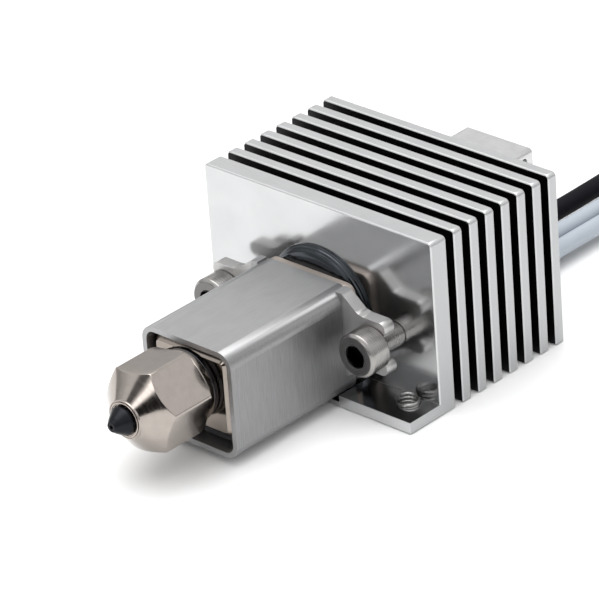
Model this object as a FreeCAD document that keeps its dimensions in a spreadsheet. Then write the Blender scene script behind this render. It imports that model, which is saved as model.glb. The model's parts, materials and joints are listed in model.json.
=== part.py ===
"""Hotend assembly: a finned heatsink on an L foot, a heater block in a thin metal cover and a hex nozzle.

Millimetres. +Z is up and the nozzle points along -Y. The origin is midway between the foot's two thread
inserts, on the face that the assembly is bolted down with.
"""

import FreeCAD
import Part
import Sketcher
import math
import os

doc = FreeCAD.newDocument("hotend")
sheet = doc.addObject("Spreadsheet::Sheet", "dims")


# ---------------------------------------------------------------- driving dimensions
class Size:
    """A number worked out from the sheet: its expression for the document, and its value."""

    def __init__(self, text, value):
        self.text = text
        self.value = value

    def __add__(self, other):
        other = as_size(other)
        return Size(f"({self.text} + {other.text})", self.value + other.value)

    def __sub__(self, other):
        other = as_size(other)
        return Size(f"({self.text} - {other.text})", self.value - other.value)

    def __mul__(self, factor):
        return Size(f"({self.text} * {factor})", self.value * factor)

    def __truediv__(self, divisor):
        return Size(f"({self.text} / {divisor})", self.value / divisor)

    def __neg__(self):
        return Size(f"(0 - {self.text})", -self.value)


def as_size(number):
    return number if isinstance(number, Size) else Size(f"{number}", number)


DIMENSIONS = {
    # heatsink; lengths along Y are counted from the front plate's front face
    "sink_width": 29.0,
    "sink_height": 18.25,
    "plate_thick": 2.15,
    "fin_thick": 1.19,
    "fin_gap": 1.09,
    "fin_count": 7,
    "corner_round": 0.45,
    "edge_break": 0.12,
    "core_width": 11.0,
    "core_low": 2.6,
    "core_top": 13.0,
    "plate_back": 1.4,
    "foot_reach": 4.3,
    "foot_thick": 1.17,
    "foot_hole_spread": 23.5,
    "foot_hole_wide": 2.36,
    "foot_insert_wide": 2.3,
    "foot_insert_bore": 1.7,
    "foot_insert_top": 1.8,
    "relief_width": 10.9,
    "relief_floor": 0.5,
    "tap_gap": 0.1,
    "channel_left": 2.6,
    "channel_right": 5.2,
    "channel_top": 3.4,
    # the filament path
    "axis_high": 7.3,
    "thread_wide": 6.0,
    "throat_wide": 3.4,
    "filament_bore": 2.0,
    "liner_wide": 3.0,
    "liner_start": 6.0,
    "liner_flare": 0.25,
    "throat_front": 1.5,
    "throat_back": 1.3,
    "thread_taper": 0.3,
    "shaft_gap": 0.04,
    # inlet block behind the fins
    "inlet_width": 8.6,
    "inlet_low": 3.6,
    "inlet_top": 14.3,
    "inlet_long": 8.3,
    "inlet_screw_high": 11.75,
    "inlet_screw_deep": 5.0,
    "inlet_thread_back": 3.0,
    "inlet_mark_wide": 0.9,
    "inlet_mark_deep": 1.0,
    "inlet_mark_back": 7.0,
    "inlet_mark_high": 13.2,
    "set_screw_wide": 2.5,
    "set_screw_long": 3.0,
    "set_screw_back": 1.6,
    # socket head screws that hold the cover's fork plates
    "screw_spread": 18.8,
    "screw_wide": 2.4,
    "screw_tip": 4.2,
    "head_wide": 4.5,
    "head_long": 2.5,
    "socket_flats": 2.0,
    "socket_deep": 1.3,
    "head_gap": 0.1,
    "seat_gap": 0.02,
    # block cover with its two fork plates
    "cover_width": 11.4,
    "cover_low": 0.65,
    "cover_top": 11.85,
    "cover_wall": 0.55,
    "cover_corner": 1.55,
    "cover_front": 18.5,
    "fork_front": 3.3,
    "fork_back": 1.95,
    "fork_reach": 11.05,
    "fork_half": 2.8,
    "fork_waist": 8.0,
    "fork_slot": 2.7,
    "fork_round": 0.7,
    # heater block and what is under it
    "block_width": 10.0,
    "block_low": 2.3,
    "block_top": 11.15,
    "block_front": 18.15,
    "block_bevel": 0.75,
    "block_corner": 1.1,
    "block_neck_inset": 1.2,
    "rim_width": 10.9,
    "rim_top": 11.6,
    "rim_back": 1.0,
    "rim_corner": 1.0,
    "heater_low": 1.25,
    "heater_thick": 1.0,
    "heater_left": 0.2,
    "heater_right": 4.4,
    "heater_front": 16.8,
    "heater_back": 0.4,
    "lead_high": 1.75,
    "sensor_side": 1.28,
    "sensor_wide": 1.0,
    "sensor_front": 10.0,
    "sensor_wire": 0.6,
    # collar on the neck
    "collar_wide": 12.8,
    "collar_front_wide": 10.2,
    "collar_crown": 0.25,
    "collar_shoulder_wide": 12.1,
    # nozzle
    "washer_thick": 0.7,
    "washer_edge": 0.12,
    "washer_wide": 7.2,
    "shoulder_wide": 7.6,
    "hex_flats": 8.0,
    "hex_turn": 9.5,
    "hex_back": 19.9,
    "cone_back": 24.8,
    "cone_front": 27.0,
    "cone_end_wide": 3.7,
    "insert_wide": 3.3,
    "insert_deep": 24.0,
    "insert_stem": 2.6,
    "tip_wide": 1.0,
    "tip_front": 28.8,
    "orifice": 0.4,
    "tip_land": 0.6,
    "small_edge": 0.08,
    "nozzle_back": 9.1,
    # leads and their two-way plugs
    "lead_wide": 1.8,
    "lead_inner_side": 2.3,
    "lead_inner_rise": 0.35,
    "lead_step": 1.84,
    "sleeve_wide": 2.0,
    "power_plug_side": 2.46,
    "power_plug_back": 79.0,
    "power_plug_wide": 6.2,
    "power_plug_high": 4.0,
    "power_plug_long": 9.0,
    "sensor_plug_side": -4.6,
    "sensor_plug_back": 74.0,
    "sensor_plug_wide": 5.0,
    "sensor_plug_high": 3.6,
    "sensor_plug_long": 8.0,
    "entry_high": 1.3,
    "entry_deep": 1.0,
    "entry_gap": 0.1,
    "cavity_start": 1.5,
    "cavity_wide": 1.2,
    "cavity_high": 1.1,
    "contact_spread": 1.8,
    "contact_wide": 1.0,
    "contact_high": 0.9,
    "latch_rise": 0.7,
}

for row, (alias, number) in enumerate(DIMENSIONS.items(), start=1):
    sheet.set(f"A{row}", alias)
    sheet.set(f"B{row}", str(number))
    sheet.setAlias(f"B{row}", alias)
doc.recompute()


def dim(alias):
    return Size(f"dims.{alias}", DIMENSIONS[alias])


FIN_PITCH = dim("fin_thick") + dim("fin_gap")
SINK_DEPTH = dim("plate_thick") + FIN_PITCH * DIMENSIONS["fin_count"]
SINK_HALF = dim("sink_width") / 2
SCREW_SIDE = dim("screw_spread") / 2
FOOT_HOLE_SIDE = dim("foot_hole_spread") / 2
INLET_SEAT_DEPTH = dim("inlet_long") - dim("head_long") - 0.3
ZERO = as_size(0.0)
AROUND = 360.0
FAR_OUT = as_size(7.0)  # a radius outside every turned piece
OVER = 0.5  # how far a cut runs past the face that it starts from
NEAR = 1e-3  # a distance too small to matter


# ---------------------------------------------------------------- modelling helpers
def new_body(label, side=ZERO, back=ZERO, up=ZERO):
    """A body whose local origin lies at (side, back, up) from the foot of the front plate's face."""
    body = doc.addObject("PartDesign::Body", label)
    body.Label = label
    body.setExpression("Placement.Base.x", side.text)
    body.setExpression("Placement.Base.y", (dim("plate_back") + back).text)
    body.setExpression("Placement.Base.z", up.text)
    doc.recompute()
    return body


def new_sketch(body, plane, offset=ZERO):
    sketch = body.newObject("Sketcher::SketchObject", f"{body.Name}_sketch")
    base = [item for item in body.Origin.OriginFeatures if item.Role == plane][0]
    sketch.AttachmentSupport = [(base, "")]
    sketch.MapMode = "FlatFace"
    sketch.setExpression("AttachmentOffset.Base.z", offset.text)
    return sketch


def place_point(sketch, geometry, end, x, y):
    """Holds one point of a sketch at (x, y) from the sketch's origin."""
    origin, centre = -1, 1
    if x.value == 0:
        sketch.addConstraint(Sketcher.Constraint("PointOnObject", geometry, end, -2))
    else:
        index = sketch.addConstraint(
            Sketcher.Constraint("DistanceX", origin, centre, geometry, end, x.value)
        )
        sketch.setExpression(f"Constraints[{index}]", x.text)
    if y.value == 0:
        sketch.addConstraint(Sketcher.Constraint("PointOnObject", geometry, end, -1))
    else:
        index = sketch.addConstraint(
            Sketcher.Constraint("DistanceY", origin, centre, geometry, end, y.value)
        )
        sketch.setExpression(f"Constraints[{index}]", y.text)


def draw_outline(sketch, points):
    """A closed outline of straight sides; each corner is held where its two sizes say."""
    points = [(as_size(x), as_size(y)) for x, y in points]
    start, centre = 1, 1
    first = sketch.GeometryCount
    corners = [FreeCAD.Vector(x.value, y.value, 0) for x, y in points]
    for index, corner in enumerate(corners):
        sketch.addGeometry(Part.LineSegment(corner, corners[(index + 1) % len(corners)]))
    for index in range(len(corners)):
        after = first + (index + 1) % len(corners)
        sketch.addConstraint(Sketcher.Constraint("Coincident", first + index, 2, after, start))
    for index, (x, y) in enumerate(points):
        place_point(sketch, first + index, centre, x, y)


def draw_circle(sketch, x, y, width):
    x, y, width = as_size(x), as_size(y), as_size(width)
    middle = FreeCAD.Vector(x.value, y.value, 0)
    circle = sketch.addGeometry(Part.Circle(middle, FreeCAD.Vector(0, 0, 1), width.value / 2))
    place_point(sketch, circle, 3, x, y)
    index = sketch.addConstraint(Sketcher.Constraint("Diameter", circle, width.value))
    sketch.setExpression(f"Constraints[{index}]", width.text)


def box_points(left, right, low, high):
    return [(left, low), (right, low), (right, high), (left, high)]


def outlines(*shapes):
    """A function that draws closed outlines in the sketch it is given."""

    def draw(sketch):
        for points in shapes:
            draw_outline(sketch, points)

    return draw


def box(left, right, low, high):
    return outlines(box_points(left, right, low, high))


def circles(width, *places):
    """A function that draws equal circles in the sketch it is given."""

    def draw(sketch):
        for x, y in places:
            draw_circle(sketch, x, y, width)

    return draw


def finish_feature(body, feature, grows):
    """Recomputes, and stops if a feature added or removed nothing."""
    before = feature.BaseFeature.Shape.Volume if feature.BaseFeature else 0.0
    doc.recompute()
    change = feature.Shape.Volume - before
    if (change > 0) != grows or abs(change) < 1e-4:
        raise ValueError(f"{body.Label}: {feature.Name} changed the volume by {change:.4f}")
    feature.Refine = False
    return feature


def slab(body, plane, start, end, draw, cut):
    """A slab between two distances along a plane's normal; it adds material, or cuts it."""
    start, end = as_size(start), as_size(end)
    faces_front = plane == "XZ_Plane"  # the normal of this plane is -Y
    sketch = new_sketch(body, plane, -start if faces_front else start)
    draw(sketch)
    doc.recompute()
    kind = "PartDesign::Pocket" if cut else "PartDesign::Pad"
    feature = body.newObject(kind, f"{body.Name}_slab")
    feature.Profile = sketch
    feature.setExpression("Length", (end - start).text)
    feature.Reversed = cut != faces_front
    return finish_feature(body, feature, not cut)


def across(body, start, end, draw, cut=False):
    """A slab between two distances along Y, drawn as (X, Z)."""
    return slab(body, "XZ_Plane", start, end, draw, cut)


def upright(body, low, high, draw, cut=False):
    """A slab between two heights, drawn as (X, Y)."""
    return slab(body, "XY_Plane", low, high, draw, cut)


def sideways(body, start, end, draw, cut=False):
    """A slab between two distances along X, drawn as (Y, Z)."""
    return slab(body, "YZ_Plane", start, end, draw, cut)


def turned(body, points, cut=False, plane="YZ_Plane"):
    """A profile of (distance along the axis, radius) turned about the sketch's horizontal axis."""
    sketch = new_sketch(body, plane)
    draw_outline(sketch, points)
    doc.recompute()
    kind = "PartDesign::Groove" if cut else "PartDesign::Revolution"
    ring = body.newObject(kind, f"{body.Name}_turned")
    ring.Profile = sketch
    ring.ReferenceAxis = (sketch, ["H_Axis"])
    ring.Angle = AROUND
    return finish_feature(body, ring, not cut)


def edges_where(feature, test):
    return [f"Edge{n}" for n, edge in enumerate(feature.Shape.Edges, start=1) if test(edge)]


def dress(body, feature, kind, size, test):
    """Rounds or chamfers the edges of the body that pass the test."""
    names = edges_where(feature, test)
    dressed = body.newObject(f"PartDesign::{kind}", f"{body.Name}_{kind.lower()}")
    dressed.Base = (feature, names)
    dressed.setExpression("Radius" if kind == "Fillet" else "Size", as_size(size).text)
    doc.recompute()
    if not dressed.Shape.isValid() or abs(dressed.Shape.Volume - feature.Shape.Volume) < 1e-6:
        raise ValueError(f"{body.Label}: {kind} changed nothing")
    return dressed


def runs_along(edge, axis):
    """Whether an edge is straight and parallel to an axis, 0 for X, 1 for Y and 2 for Z."""
    if not isinstance(edge.Curve, Part.Line):
        return False
    return abs(abs(edge.Curve.Direction[axis]) - 1) < 1e-6


def hex_points(flats, turn=0.0):
    """The six corners of a hexagon about the sketch's origin; turn is in degrees."""
    reach = flats / math.sqrt(3)
    angles = [math.radians(turn + 60 * n) for n in range(6)]
    return [(reach * math.cos(a), reach * math.sin(a)) for a in angles]


# ---------------------------------------------------------------- heatsink and inlet
def make_heatsink():
    body = new_body("heatsink")
    tall = dim("sink_height")
    core_half = dim("core_width") / 2
    plate = box(-SINK_HALF, SINK_HALF, ZERO, tall)
    core = box(-core_half, core_half, dim("core_low"), dim("core_top"))
    across(body, 0.0, dim("plate_thick"), plate)
    across(body, dim("plate_thick"), SINK_DEPTH, core)
    first_fin = dim("plate_thick") + dim("fin_gap")
    fin = across(body, first_fin, first_fin + dim("fin_thick"), plate)
    fins = body.newObject("PartDesign::LinearPattern", "fins")
    fins.Originals = [fin]
    fins.Direction = (fin.Profile[0], ["N_Axis"])
    fins.Reversed = True
    fins.setExpression("Length", (FIN_PITCH * (DIMENSIONS["fin_count"] - 1)).text)
    fins.setExpression("Occurrences", "dims.fin_count")
    body.Tip = fins
    doc.recompute()

    foot = box(-SINK_HALF, SINK_HALF, -dim("foot_reach"), dim("plate_thick") / 2)
    upright(body, 0.0, dim("foot_thick"), foot)
    relief_half = dim("relief_width") / 2
    relief = box(-relief_half, relief_half, -dim("foot_reach") - OVER, ZERO)
    upright(body, dim("relief_floor"), dim("foot_thick") + OVER, relief, cut=True)

    behind = SINK_DEPTH + OVER
    bore = circles(dim("thread_wide") + dim("shaft_gap"), (0.0, dim("axis_high")))
    across(body, -OVER, behind, bore, cut=True)
    channel = box(-dim("channel_left"), dim("channel_right"), as_size(-OVER), dim("channel_top"))
    across(body, 0.0, behind, channel, cut=True)

    tapped = dim("screw_wide") + dim("tap_gap")
    sides = circles(tapped, (-SCREW_SIDE, dim("axis_high")), (SCREW_SIDE, dim("axis_high")))
    across(body, -OVER, dim("screw_tip") + OVER, sides, cut=True)
    holes = [(side, -dim("plate_back")) for side in (-FOOT_HOLE_SIDE, FOOT_HOLE_SIDE)]
    feet = circles(dim("foot_hole_wide"), *holes)
    upright(body, -OVER, dim("foot_thick") + OVER, feet, cut=True)
    screw_end = SINK_DEPTH - dim("inlet_screw_deep") - OVER
    last = across(body, screw_end, behind, circles(tapped, (0.0, dim("inlet_screw_high"))), cut=True)

    # the outer corners of the plate, the fins and the foot, then every outer edge
    wide, high = SINK_HALF.value, DIMENSIONS["sink_height"]

    def top_corner(edge):
        middle = edge.CenterOfMass
        return runs_along(edge, 1) and abs(abs(middle.x) - wide) < NEAR and abs(middle.z - high) < NEAR

    rounded = dress(body, last, "Fillet", dim("corner_round"), top_corner)

    def outer_edge(edge):
        middle = edge.CenterOfMass
        on_top = runs_along(edge, 0) and abs(middle.z - high) < NEAR
        tall_side = edge.Length > 2 * DIMENSIONS["foot_thick"]
        on_side = runs_along(edge, 2) and abs(abs(middle.x) - wide) < NEAR and tall_side
        return on_top or on_side

    dress(body, rounded, "Chamfer", dim("edge_break"), outer_edge)
    return body


def make_foot_insert(label, side):
    """A wound thread insert in the foot, standing a little above it; screws enter it from below."""
    body = new_body(label, side=side, back=-dim("plate_back"))
    top = dim("foot_insert_top")
    upright(body, 0.0, top, circles(dim("foot_insert_wide"), (0.0, 0.0)))
    upright(body, -OVER, top + OVER, circles(dim("foot_insert_bore"), (0.0, 0.0)), cut=True)
    return body


def make_inlet_block():
    """The block behind the fins, with the liner's bore, a screw pocket and a set screw's hole."""
    body = new_body("inlet_block", back=SINK_DEPTH)
    half, long = dim("inlet_width") / 2, dim("inlet_long")
    axis, screw_high = dim("axis_high"), dim("inlet_screw_high")
    block = across(body, 0.0, long, box(-half, half, dim("inlet_low"), dim("inlet_top")))
    dress(body, block, "Fillet", dim("corner_round"), lambda edge: runs_along(edge, 1))
    thread = circles(dim("thread_wide") + dim("shaft_gap"), (0.0, axis))
    across(body, -OVER, dim("inlet_thread_back") + dim("shaft_gap"), thread, cut=True)
    liner = circles(dim("liner_wide") + dim("shaft_gap"), (0.0, axis))
    across(body, -OVER, long + OVER, liner, cut=True)
    shank = circles(dim("screw_wide") + dim("tap_gap"), (0.0, screw_high))
    across(body, -OVER, long + OVER, shank, cut=True)
    pocket = circles(dim("head_wide") + dim("head_gap"), (0.0, screw_high))
    across(body, INLET_SEAT_DEPTH, long + OVER, pocket, cut=True)
    set_hole = circles(dim("set_screw_wide") + dim("tap_gap"), (long - dim("set_screw_back"), axis))
    sideways(body, 1.0, half + OVER, set_hole, cut=True)
    mark = circles(dim("inlet_mark_wide"), (dim("inlet_mark_back"), dim("inlet_mark_high")))
    sideways(body, half - dim("inlet_mark_deep"), half + OVER, mark, cut=True)
    return body


def make_inlet_liner():
    """The slippery tube that guides the filament from the inlet block's rear face into the heat break."""
    body = new_body("inlet_liner", up=dim("axis_high"))
    end = SINK_DEPTH + dim("inlet_long")
    outer, inner = dim("liner_wide") / 2, dim("filament_bore") / 2
    turned(
        body,
        [
            (dim("liner_start"), inner),
            (end - dim("liner_flare") * 2, inner),
            (end, inner + dim("liner_flare")),
            (end, outer),
            (dim("liner_start"), outer),
        ],
    )
    return body


def make_heat_break():
    """A threaded tube, thin between the block and the heatsink so that little heat crosses."""
    body = new_body("heat_break", up=dim("axis_high"))
    thread, throat = dim("thread_wide") / 2, dim("throat_wide") / 2
    bore, seat = dim("filament_bore") / 2, dim("liner_wide") / 2 + dim("shaft_gap") / 2
    taper = dim("thread_taper")
    front = -dim("nozzle_back") + dim("shaft_gap")
    end = SINK_DEPTH + dim("inlet_thread_back")
    turned(
        body,
        [
            (front, bore),
            (dim("liner_start"), bore),
            (dim("liner_start"), seat),
            (end, seat),
            (end, thread - taper),
            (end - taper, thread),
            (dim("throat_back") + taper, thread),
            (dim("throat_back"), throat),
            (-dim("throat_front"), throat),
            (-dim("throat_front") - taper, thread),
            (front + taper, thread),
            (front, thread - taper),
        ],
    )
    return body


def make_neck_collar():
    """The dark domed ring between the block and the front plate, notched for the leads."""
    body = new_body("neck_collar", up=dim("axis_high"))
    crown, edge = dim("collar_wide") / 2, dim("collar_front_wide") / 2
    inner = dim("thread_wide") / 2 + dim("shaft_gap")
    front, crown_end = -dim("rim_back"), -dim("collar_crown")
    middle, shoulder = (front + crown_end) / 2, dim("collar_shoulder_wide") / 2
    turned(
        body,
        [
            (front, inner),
            (ZERO, inner),
            (ZERO, crown),
            (crown_end, crown),
            (middle, shoulder),
            (front, edge),
        ],
    )
    low, high = -dim("collar_wide"), dim("channel_top") - dim("axis_high")
    notch = box(-dim("channel_left"), dim("channel_right"), low, high)
    across(body, front - OVER, OVER, notch, cut=True)
    return body


# ---------------------------------------------------------------- heater block and cover
def make_heater_block():
    """The nickel plated block: a bevelled core inside the cover, and a rim strip behind it."""
    body = new_body("heater_block")
    half, low, top = dim("block_width") / 2, dim("block_low"), dim("block_top")
    front, cover_back, rim_back = -dim("block_front"), -dim("fork_back"), -dim("rim_back")
    core = across(body, front, cover_back, box(-half, half, low, top))
    core = dress(body, core, "Fillet", dim("block_corner"), lambda edge: runs_along(edge, 1))

    def at_front(edge):
        return abs(edge.BoundBox.YMax - front.value) < NEAR

    dress(body, core, "Chamfer", dim("block_bevel"), at_front)
    rim_half, rim_top = dim("rim_width") / 2, dim("rim_top")
    rim = box(-rim_half, rim_half, low, rim_top)
    rim_slab = across(body, cover_back + dim("shaft_gap"), rim_back, rim)

    def rim_corner(edge):
        short = edge.Length < DIMENSIONS["fork_back"]
        return runs_along(edge, 1) and short and abs(edge.CenterOfMass.z - rim_top.value) < NEAR

    dress(body, rim_slab, "Fillet", dim("rim_corner"), rim_corner)
    inset = dim("block_neck_inset")
    across(body, cover_back - OVER, rim_back, box(-half + inset, half - inset, low, top - inset))
    bore = circles(dim("thread_wide") + dim("shaft_gap"), (0.0, dim("axis_high")))
    across(body, front - OVER, ZERO, bore, cut=True)
    return body


def fork_outline(side):
    """One fork plate, seen from the front: a slotted lobe that widens to the cover's full height."""
    axis, lobe, top = dim("axis_high"), dim("fork_half"), dim("cover_top")
    reach, waist, half = dim("fork_reach"), dim("fork_waist"), dim("cover_width") / 2
    root = half - 0.7
    points = [
        (reach, axis + lobe),
        (waist + 0.4, axis + lobe),
        (waist - 0.35, axis + lobe + 0.15),
        (half + 0.65, top - 0.5),
        (half + 0.05, top - 0.05),
        (root, top - 0.02),
        (root, axis - lobe - 2.6),
        (half, axis - lobe - 1.6),
        (waist - 0.1, axis - lobe - 0.35),
        (waist + 0.6, axis - lobe),
        (reach, axis - lobe),
    ]
    return [(x * side, z) for x, z in points]


def make_block_cover():
    """The thin folded cover round the block, with a slotted fork plate on each side of its rear."""
    body = new_body("block_cover")
    half, low, top = dim("cover_width") / 2, dim("cover_low"), dim("cover_top")
    front, back, fork_front = -dim("cover_front"), -dim("fork_back"), -dim("fork_front")
    shell = across(body, front, back, box(-half, half, low, top))
    dress(body, shell, "Fillet", dim("cover_corner"), lambda edge: runs_along(edge, 1))

    axis, reach, waist = dim("axis_high"), dim("fork_reach"), dim("fork_waist")
    lobe, slot_half = dim("fork_half"), dim("fork_slot") / 2
    for side in (-1, 1):
        across(body, fork_front, back, outlines(fork_outline(side)))
    for side in (-1, 1):
        inner, outer = SCREW_SIDE * side, (reach + 1.0) * side
        slot = box(inner, outer, axis - slot_half, axis + slot_half)
        across(body, fork_front - OVER, back + OVER, slot, cut=True)
        hole = circles(dim("fork_slot"), (inner, axis))
        fork = across(body, fork_front - OVER, back + OVER, hole, cut=True)

    def lobe_end(edge):
        return runs_along(edge, 1) and abs(abs(edge.CenterOfMass.x) - reach.value) < NEAR

    tip_round = (lobe - slot_half) / 2 - 0.045
    fork = dress(body, fork, "Fillet", tip_round, lobe_end)

    def fork_waist(edge):
        middle = edge.CenterOfMass
        above = abs(middle.z - axis.value)
        beside = abs(abs(middle.x) - waist.value) < 0.7 and abs(above - lobe.value) < 0.4
        return runs_along(edge, 1) and beside

    dress(body, fork, "Fillet", dim("fork_round"), fork_waist)
    wall = dim("cover_wall")
    inner = box(wall - half, half - wall, low + wall, top - wall)
    hollow = across(body, front - OVER, back + OVER, inner, cut=True)

    def inner_corner(edge):
        middle = edge.CenterOfMass
        at_side = abs(abs(middle.x) - (half - wall).value) < NEAR
        at_end = min(abs(middle.z - (low + wall).value), abs(middle.z - (top - wall).value)) < NEAR
        return runs_along(edge, 1) and at_side and at_end

    dress(body, hollow, "Fillet", dim("cover_corner") - wall, inner_corner)
    return body


def make_ceramic_heater():
    """The flat heating plate that the cover presses against the block's underside."""
    body = new_body("ceramic_heater")
    low = dim("heater_low")
    plate = box(-dim("heater_left"), dim("heater_right"), low, low + dim("heater_thick"))
    across(body, -dim("heater_front"), -dim("heater_back"), plate)
    return body


def make_thermistor():
    """The temperature sensor: a thin glass bead on its two wires, drawn as one stem."""
    body = new_body("thermistor", side=-dim("sensor_side"), up=dim("lead_high"))
    bead, wire = dim("sensor_wide") / 2, dim("sensor_wire") / 2
    front, stem_end = -dim("sensor_front"), as_size(-3.0)
    turned(
        body,
        [
            (front, ZERO),
            (-dim("heater_back"), ZERO),
            (-dim("heater_back"), wire),
            (stem_end, wire),
            (stem_end - 0.2, bead),
            (front + 0.4, bead),
            (front, bead / 2),
        ],
    )
    return body


# ---------------------------------------------------------------- nozzle
def make_nozzle():
    """The nozzle's body: a threaded stem, a turned shoulder, and a hexagon with a cone in front."""
    body = new_body("nozzle_body", up=dim("axis_high"))
    thread, shoulder = dim("thread_wide") / 2 - 0.03, dim("shoulder_wide") / 2
    bore, back, taper = dim("filament_bore") / 2, -dim("nozzle_back"), dim("thread_taper")
    washer_front = -dim("block_front") - dim("washer_thick")
    hex_back, cone_front, step = -dim("hex_back"), -dim("cone_front"), 0.15
    turned(
        body,
        [
            (back, bore),
            (back, thread - taper),
            (back - taper, thread),
            (washer_front, thread),
            (washer_front, shoulder - step),
            (washer_front - step, shoulder),
            (hex_back + step * 2, shoulder),
            (hex_back + step, shoulder - step),
            (hex_back - OVER, shoulder - step),
            (hex_back - OVER, bore),
        ],
    )
    flats = dim("hex_flats")
    hexagon = [(flats * x, flats * z) for x, z in hex_points(1.0, DIMENSIONS["hex_turn"])]
    across(body, cone_front, hex_back, outlines(hexagon))
    corner_reach, end = flats * (1 / math.sqrt(3)), dim("cone_end_wide") / 2
    turned(
        body,
        [
            (-dim("cone_back"), corner_reach),
            (-dim("cone_back"), FAR_OUT),
            (cone_front - OVER, FAR_OUT),
            (cone_front - OVER, end),
            (cone_front, end),
        ],
        cut=True,
    )
    turned(
        body,
        [
            (hex_back, corner_reach - 0.25),
            (hex_back - 0.25, corner_reach + 0.05),
            (hex_back - 0.25, FAR_OUT),
            (hex_back + OVER, FAR_OUT),
            (hex_back + OVER, corner_reach - 0.25),
        ],
        cut=True,
    )
    stem, seat = dim("insert_stem") / 2 + dim("seat_gap"), -dim("insert_deep")
    turned(
        body,
        [
            (hex_back + OVER, ZERO),
            (hex_back + OVER, bore),
            (seat, bore),
            (seat, stem),
            (cone_front - OVER, stem),
            (cone_front - OVER, ZERO),
        ],
        cut=True,
    )
    return body


def make_nozzle_tip():
    """The hardened insert, with a cone down to the flat around the orifice."""
    body = new_body("nozzle_tip", up=dim("axis_high"))
    stem, ring, flat = dim("insert_stem") / 2, dim("insert_wide") / 2, dim("tip_wide") / 2
    bore, hole = dim("filament_bore") / 2, dim("orifice") / 2
    back, face, tip = -dim("insert_deep") - dim("seat_gap"), -dim("cone_front"), -dim("tip_front")
    edge, land = dim("small_edge"), dim("tip_land")
    turned(
        body,
        [
            (back, bore),
            (back, stem),
            (face, stem),
            (face, ring - edge),
            (face - edge, ring),
            (face - 0.35, ring),
            (tip + 0.35, flat + 0.22),
            (tip + 0.1, flat + 0.06),
            (tip, flat),
            (tip, hole),
            (tip + land, hole),
            (tip + land + bore - hole, bore),
        ],
    )
    return body


def make_nozzle_washer():
    """The thin ring between the block and the nozzle's shoulder."""
    body = new_body("nozzle_washer", up=dim("axis_high"))
    inner, outer = dim("thread_wide") / 2 + 0.03, dim("washer_wide") / 2
    edge = dim("washer_edge")
    back = -dim("block_front") - dim("seat_gap")
    front = -dim("block_front") - dim("washer_thick") + dim("seat_gap")
    turned(
        body,
        [
            (back, inner),
            (back, outer - edge),
            (back - edge, outer),
            (front + edge, outer),
            (front, outer - edge),
            (front, inner),
        ],
    )
    return body


# ---------------------------------------------------------------- screws
def make_cap_screw(label, side, seat, shank_end, high):
    """A socket head cap screw; its head lies on the seat and its shank runs to shank_end along Y."""
    body = new_body(label, side=side, back=seat, up=high)
    toward = 1 if shank_end.value > 0 else -1
    shank, head, taper = dim("screw_wide") / 2, dim("head_wide") / 2, dim("thread_taper")
    head_front = dim("head_long") * -toward
    turned(
        body,
        [
            (head_front, ZERO),
            (head_front, head - 0.25),
            (head_front + 0.12 * toward, head - 0.06),
            (head_front + 0.3 * toward, head),
            (as_size(-0.1 * toward), head),
            (ZERO, head - 0.1),
            (ZERO, shank),
            (shank_end - taper * toward, shank),
            (shank_end, shank - taper),
            (shank_end, ZERO),
        ],
    )
    flats = dim("socket_flats")
    hexagon = [(flats * x, flats * z) for x, z in hex_points(1.0, 20.0)]
    face, floor = head_front - OVER * toward, head_front + dim("socket_deep") * toward
    low, high_end = (face, floor) if toward > 0 else (floor, face)
    across(body, low, high_end, outlines(hexagon), cut=True)
    return body


def make_set_screw():
    """The headless screw in the inlet block's side that presses on the liner."""
    body = new_body(
        "inlet_set_screw",
        side=dim("liner_wide") / 2 + 0.05,
        back=SINK_DEPTH + dim("inlet_long") - dim("set_screw_back"),
        up=dim("axis_high"),
    )
    radius, length = dim("set_screw_wide") / 2, dim("set_screw_long") - 0.6
    cone, edge, key = 0.35, 0.15, 1.27
    turned(
        body,
        [
            (ZERO, ZERO),
            (ZERO, radius - cone),
            (as_size(cone), radius),
            (length - edge, radius),
            (length, radius - edge),
            (length, ZERO),
        ],
        plane="XZ_Plane",
    )
    sideways(body, length - 1.0, length + OVER, outlines(hex_points(key)), cut=True)
    return body


# ---------------------------------------------------------------- leads and plugs
HEATER_A_ROUTE = [
    (2.3, 18.11, 2.1),
    (2.3, 30.0, 2.1),
    (2.28, 42.5, 2.06),
    (1.8, 54.0, 1.1),
    (1.56, 64.5, 1.02),
    (1.54, 72.5, 1.3),
    (1.54, 80.0, 1.3),
]
HEATER_B_ROUTE = [
    (4.14, 18.11, 1.75),
    (4.14, 30.0, 1.75),
    (4.12, 42.5, 1.72),
    (3.66, 54.0, 1.04),
    (3.4, 64.5, 1.02),
    (3.38, 72.5, 1.3),
    (3.38, 80.0, 1.3),
]
SENSOR_ROUTE = [
    (-1.28, 18.11, 1.75),
    (-1.28, 30.5, 1.75),
    (-1.32, 43.5, 1.72),
    (-2.6, 54.0, 1.2),
    (-4.4, 63.0, 1.16),
    (-4.6, 69.0, 1.3),
    (-4.6, 75.0, 1.3),
]


def route_wire(points):
    """Straight runs joined by tangent arcs, each as large as its two runs allow."""
    points = [FreeCAD.Vector(*point) for point in points]
    edges, radii, start = [], [], points[0]
    for before, corner, after in zip(points, points[1:], points[2:]):
        arrive, leave = (corner - before).normalize(), (after - corner).normalize()
        turn = arrive.getAngle(leave)
        shorter = min((corner - before).Length, (after - corner).Length)
        radius = 0.45 * shorter / math.tan(turn / 2)
        tangent = 0.45 * shorter
        enter, exit_point = corner - arrive * tangent, corner + leave * tangent
        inward = (leave - arrive).normalize()
        middle = corner + inward * (radius / math.cos(turn / 2) - radius)
        edges.append(Part.LineSegment(start, enter).toShape())
        edges.append(Part.Arc(enter, middle, exit_point).toShape())
        radii.append(radius)
        start = exit_point
    edges.append(Part.LineSegment(start, points[-1]).toShape())
    return Part.Wire(edges), radii


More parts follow.
